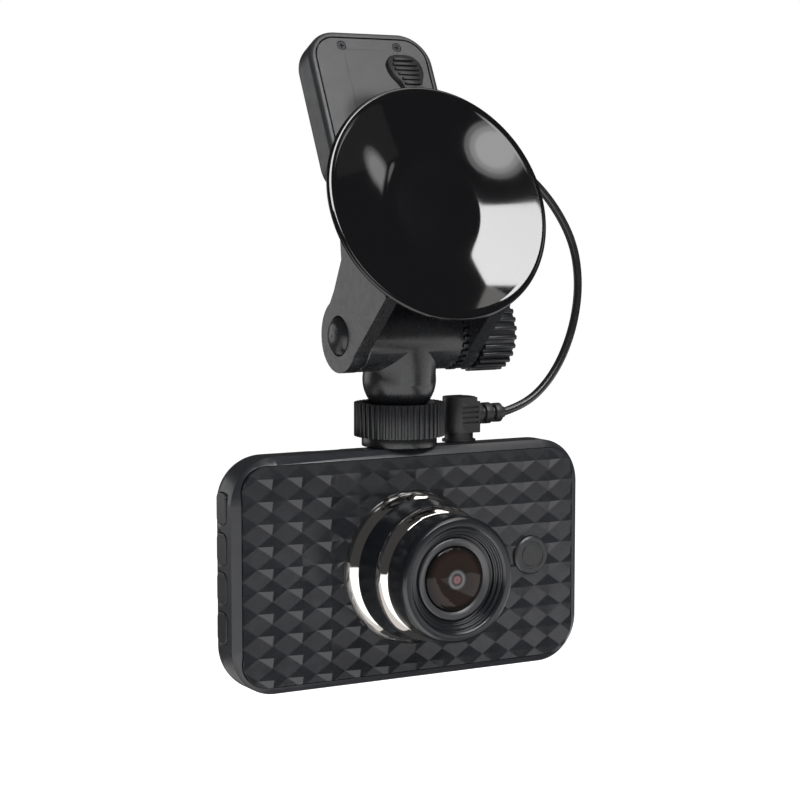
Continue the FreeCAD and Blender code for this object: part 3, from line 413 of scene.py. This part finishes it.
def cup_depth(r):
    """Depth of the hollow face: flat in the middle, easing into a steeper ring out to the lip."""
    flat_r, bowl_r, bowl_d, slope = 9.0, 15.2, 2.0, 0.13
    if r <= bowl_r:
        t = max(0.0, (r - flat_r) / (bowl_r - flat_r))
        return bowl_d + slope * (bowl_r - flat_r) * (0.5 - t ** 3 + t ** 4 / 2)
    reach = CUP_LIP_R - bowl_r
    t = min(1.0, (r - bowl_r) / reach)
    return bowl_d - slope * reach * t - (bowl_d - slope * reach) * t * t


def cup_profile():
    centre = cup_depth(0)
    nib = [(0, centre), (0.5, centre), (0.65, centre + 0.008), (0.85, centre + 0.008), (1.0, centre)]
    face = [(r / 2, cup_depth(r / 2)) for r in range(4, int(2 * CUP_LIP_R) + 1)]
    lip = rounded_corners([(26.55, 0.02), (27.35, 0.0), (27.8, 0.3), (27.8, 0.85), (27.5, 1.3), (26.6, 1.55)],
                          0.3, closed=False)
    rear = [(24.0, 2.6), (21.5, 3.7), (19.0, 4.85), (16.0, 6.15), (13.0, 7.35), (11.0, 8.15), (9.0, 8.8),
            (7.0, 9.2), (6.6, 9.5), (6.55, 10.4), (6.3, 10.6), (3.6, 10.6), (3.3, 10.6), (3.3, 9.0), (0, 9.0)]
    return nib + face + [tuple(p) for p in lip] + rear


def pull_tab_mesh():
    """Paddle-shaped tab with moulded ribs, leaning back from the glass."""
    lean = math.radians(19.0)
    root_up, root_back = CUP_R - 1.3, 1.0
    thickness = 1.5
    half = [(2.5, 0), (2.6, 2.6), (3.1, 4.2), (4.1, 6.0), (4.45, 7.8), (4.3, 9.8), (3.3, 11.4), (1.3, 12.1)]
    outline = [(-x, along) for x, along in half] + half[::-1]
    outline = [tuple(p) for p in rounded_corners(outline, 0.7, steps=3)]
    bm = bmesh.new()

    def place(x, along, out):
        back = root_back + along * math.sin(lean) - out * math.cos(lean)
        up = root_up + along * math.cos(lean) + out * math.sin(lean)
        return glass_point(x, back, up)

    def prism(points, out0, out1, chamfer):
        cx = sum(p[0] for p in points) / len(points)
        cz = sum(p[1] for p in points) / len(points)
        rows = []
        for out, shrink in ((out0, chamfer), (out0 + chamfer, 0), (out1 - chamfer, 0), (out1, chamfer)):
            row = []
            for x, along in points:
                d = math.hypot(x - cx, along - cz)
                k = 1 - shrink / d
                row.append(bm.verts.new(place(cx + (x - cx) * k, cz + (along - cz) * k, out)))
            rows.append(row)
        for low, high in zip(rows, rows[1:]):
            for k in range(len(points)):
                n = (k + 1) % len(points)
                bm.faces.new((low[k], low[n], high[n], high[k]))
        bm.faces.new(rows[0])
        bm.faces.new(rows[-1])

    prism(outline, -thickness, 0.0, 0.22)
    for k, half_width in enumerate((2.1, 2.3, 2.8, 3.2, 3.2, 2.6)):
        low = 2.6 + 1.45 * k
        high = low + 0.7
        corners = [(-half_width, low), (half_width, low), (half_width, high), (-half_width, high)]
        prism([tuple(p) for p in rounded_corners(corners, 0.3)], -0.1, 0.45, 0.16)
    bmesh.ops.recalc_face_normals(bm, faces=bm.faces)
    mesh = bpy.data.meshes.new("pull_tab")
    bm.to_mesh(mesh)
    bm.free()
    return mesh


def make_suction_cup():
    name = "suction_cup_skin"
    mesh = lathe_mesh(name, cup_profile(), Vector((0, 0, 0)), BACK_AXIS, closed=False, segments=224)
    bm = bmesh.new()
    bm.from_mesh(mesh)
    bowl_faces = len(bm.faces)
    bm.from_mesh(pull_tab_mesh())
    for index, face in enumerate(bm.faces):
        face.material_index = int(index >= bowl_faces)
    bm.to_mesh(mesh)
    bm.free()
    cup = add_object(name, mesh, FINISHES["cup_rubber"], 50)
    mesh.materials.append(moulded("matt_rubber", (0.006, 0.006, 0.0065), 0.5, 0.2, 0.004).material)
    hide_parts("suction_cup")
    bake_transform(cup)


def make_spring():
    """The coil spring round the stem, between the cup's boss and the base."""
    turns, wire, coil = 3.5, 0.32, 3.75
    low, high = 11.0, 14.5
    points = []
    for k in range(int(turns * 32) + 1):
        t = k / (turns * 32)
        a = 2 * math.pi * turns * t
        points.append(glass_point(coil * math.cos(a), low + (high - low) * t, coil * math.sin(a)))
    mesh = tube_mesh("stem_coil", points, wire * MM, 12)
    spring = add_object("stem_coil", mesh, FINISHES["spring_steel"], 60)
    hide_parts("stem_spring")
    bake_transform(spring)


make_suction_cup()
make_spring()


# ---------------------------------------------------------------- lens

def lens_ring(name, node, slot, profile, radius, closed=True):
    """A turned piece of the lens: profile holds (radius, distance in front of the panel)."""
    points = [tuple(p) for p in rounded_corners(profile, radius, closed)]
    mesh = lathe_mesh(name, points, LENS_CENTRE, FORWARD, closed, 192)
    piece = add_object(name, mesh, FINISHES[slot], 40)
    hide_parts(node)
    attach(piece, "camera")


def make_lens():
    lens_ring("flange_ring", "lens_flange", "bright_metal",
              [(15.9, -1.4), (17.85, -1.4), (17.85, 0.2), (17.6, 1.0), (17.15, 1.75), (16.6, 2.4), (16.1, 2.9),
               (15.9, 3.1)], 0.4)
    lens_ring("trim_ring", "lens_trim_ring", "bright_metal",
              [(13.65, 9.85), (15.5, 9.85), (15.56, 10.5), (15.35, 11.3), (14.95, 12.0),
               (14.5, 12.6), (14.1, 13.05), (13.65, 13.15)], 0.4)
    lens_ring("barrel_shell", "lens_barrel", "barrel_paint",
              [(5.1, -3.0), (13.6, -3.0), (13.6, 13.3), (14.3, 13.3), (14.4, 19.2), (14.2, 20.1), (13.66, 20.7),
               (12.2, 20.75), (11.75, 20.3), (11.7, 19.9), (10.95, 19.85), (10.9, 19.15), (10.15, 19.1),
               (10.1, 18.3), (9.3, 18.2), (9.3, 15.2), (6.6, 15.2), (6.6, 8.0), (5.1, 8.0)], 0.22)
    lens_ring("retainer_ring", "lens_retainer", "retainer_paint",
              [(7.4, 15.25), (9.25, 15.25), (9.25, 18.7), (8.95, 18.9), (8.2, 18.7), (7.5, 18.35)], 0.15)
    rim, rise = 18.3, 1.4
    angles = [math.pi / 2 * k / 16 for k in range(16)]
    dome = [(DOME_R * math.cos(a), rim + rise * math.sin(a)) for a in angles]
    lens_ring("front_dome", "front_lens", "lens_glass",
              [(0, 16.6), (5.2, 15.8), (6.2, 15.3), (DOME_R, 15.3)] + dome + [(0, rim + rise)], 0.05, False)


make_lens()


# ---------------------------------------------------------------- edges of the CAD pieces

SOFT_EDGES = {
    "front_shell": 0.3, "rear_shell": 0.2, "mount_base": 0.35, "neck": 0.25, "clamp_knob": 0.18,
    "lock_ring": 0.12, "lock_washer": 0.25, "gps_housing": 0.15, "gps_cover": 0.2, "hinge_bolt": 0.2,
    "friction_washer": 0.1,
    "lock_lever": 0.4, "plug_body": 0.35, "plug_relief": 0.2, "gps_lead_gland": 0.2, "badge": 0.12,
    "lcd_window": 0.15, "knob_nut": 0.1, "microsd_card": 0.12, "front_panel": 0.05, "lens_cone": 0.1,
}
for node_name, edge in SOFT_EDGES.items():
    soften(node_name, edge, 12 if node_name == "front_panel" else 30)


# ---------------------------------------------------------------- light and floor

SUBJECT = Vector((0, 10, -20)) * MM
FLOOR_Z = -0.21
IN_REFLECTIONS, ON_MATT, TO_THE_EYE = 0.05, 0.6, 1.0     # the world's brightness, by kind of ray


def area_light(name, place, turn, width, height, radiance, colour, shape="RECTANGLE"):
    data = bpy.data.lights.new(name, "AREA")
    data.shape = shape
    data.size = width
    data.size_y = height
    data.energy = radiance * math.pi * width * height
    data.color = colour
    light = bpy.data.objects.new(name, data)
    bpy.context.scene.collection.objects.link(light)
    light.location = place
    light.rotation_euler = turn
    light.visible_camera = False
    return light


def softbox(name, azimuth, elevation, distance, width, height, radiance, colour=(1, 1, 1), **kind):
    """A soft panel facing the subject. Azimuth 0 is in front of the lens and 90 on its +X side."""
    a, e = math.radians(azimuth), math.radians(elevation)
    way = Vector((math.sin(a) * math.cos(e), -math.cos(a) * math.cos(e), math.sin(e)))
    turn = way.to_track_quat("Z", "Y").to_euler()
    area_light(name, SUBJECT + way * distance, turn, width, height, radiance, colour, **kind)


def floor_card(name, x0, x1, y0, y1, radiance, colour=(1, 1, 1)):
    """A bright patch of the floor that only reflections see."""
    place = ((x0 + x1) / 2, (y0 + y1) / 2, FLOOR_Z + 0.004)
    card = area_light(name, place, (math.pi, 0, 0), x1 - x0, y1 - y0, radiance, colour)
    card.visible_diffuse = False


def make_world():
    """White to the eye, an even fill for matt surfaces, and nearly dark in reflections."""
    world = bpy.data.worlds.new("studio")
    bpy.context.scene.world = world
    world.use_nodes = True
    tree = world.node_tree
    tree.nodes.clear()
    rays = tree.nodes.new("ShaderNodeLightPath")
    out = tree.nodes.new("ShaderNodeOutputWorld")
    shades = []
    for strength in (IN_REFLECTIONS, ON_MATT, TO_THE_EYE):
        shade = tree.nodes.new("ShaderNodeBackground")
        shade.inputs["Color"].default_value = (1, 1, 1, 1)
        shade.inputs["Strength"].default_value = strength
        shades.append(shade.outputs["Background"])
    result = shades[0]
    for test, shade in (("Is Diffuse Ray", shades[1]), ("Is Camera Ray", shades[2])):
        mix = tree.nodes.new("ShaderNodeMixShader")
        tree.links.new(rays.outputs[test], mix.inputs["Fac"])
        tree.links.new(result, mix.inputs[1])
        tree.links.new(shade, mix.inputs[2])
        result = mix.outputs["Shader"]
    tree.links.new(result, out.inputs["Surface"])


def make_floor():
    half = 4.0
    corners = [(x * half, y * half, FLOOR_Z) for x, y in ((-1, -1), (1, -1), (1, 1), (-1, 1))]
    mesh = mesh_from("floor", corners, [(0, 1, 2, 3)])
    pale = Finish("pale_floor", (0.82, 0.82, 0.82), 0.8, specular=0.1).vary_roughness(30, 0.05)
    pale.put("Emission Color", (1, 1, 1, 1))
    pale.put("Emission Strength", 0.55)
    floor = add_object("floor", mesh, pale.material)
    floor.visible_glossy = False


make_world()
make_floor()
softbox("front_high", 10.5, 45.0, 0.75, 0.50, 0.176, 17.0)
for step, share in enumerate((1.0, 0.82, 0.64)):
    reach = 0.75 + 0.002 * step
    softbox(f"front_mid_{step}", 18.8, 29.3, reach, 0.145 * share, 0.12 * share, 2.0, shape="ELLIPSE")
    softbox(f"glow_left_{step}", 46.6, 29.6, reach, 0.06 * share, 0.085 * share, 1.0, shape="ELLIPSE")
softbox("glow_right", 42.0, 31.6, 0.75, 0.02, 0.05, 1.6, shape="ELLIPSE")
softbox("right_dim", 52, 18, 0.9, 0.34, 0.34, 0.14)
softbox("overhead", 66, 67, 0.8, 0.55, 0.44, 2.6, (1.0, 0.97, 0.94))
softbox("left_back", -150, 2, 0.8, 0.5, 0.36, 1.15)
floor_card("card_front", -0.5, 0.10, -1.2, -0.13, 1.9)
floor_card("card_under", -0.5, 0.02, -0.13, -0.01, 1.9)
floor_card("card_far_left", -3.0, -0.5, -2.5, 0.1, 1.3)
floor_card("card_left", -0.5, -0.02, -0.01, 0.25, 0.7, (1.0, 0.96, 0.93))
floor_card("card_right", 0.21, 0.8, -0.8, 0.2, 1.4)
bpy.context.scene.view_settings.view_transform = "Standard"
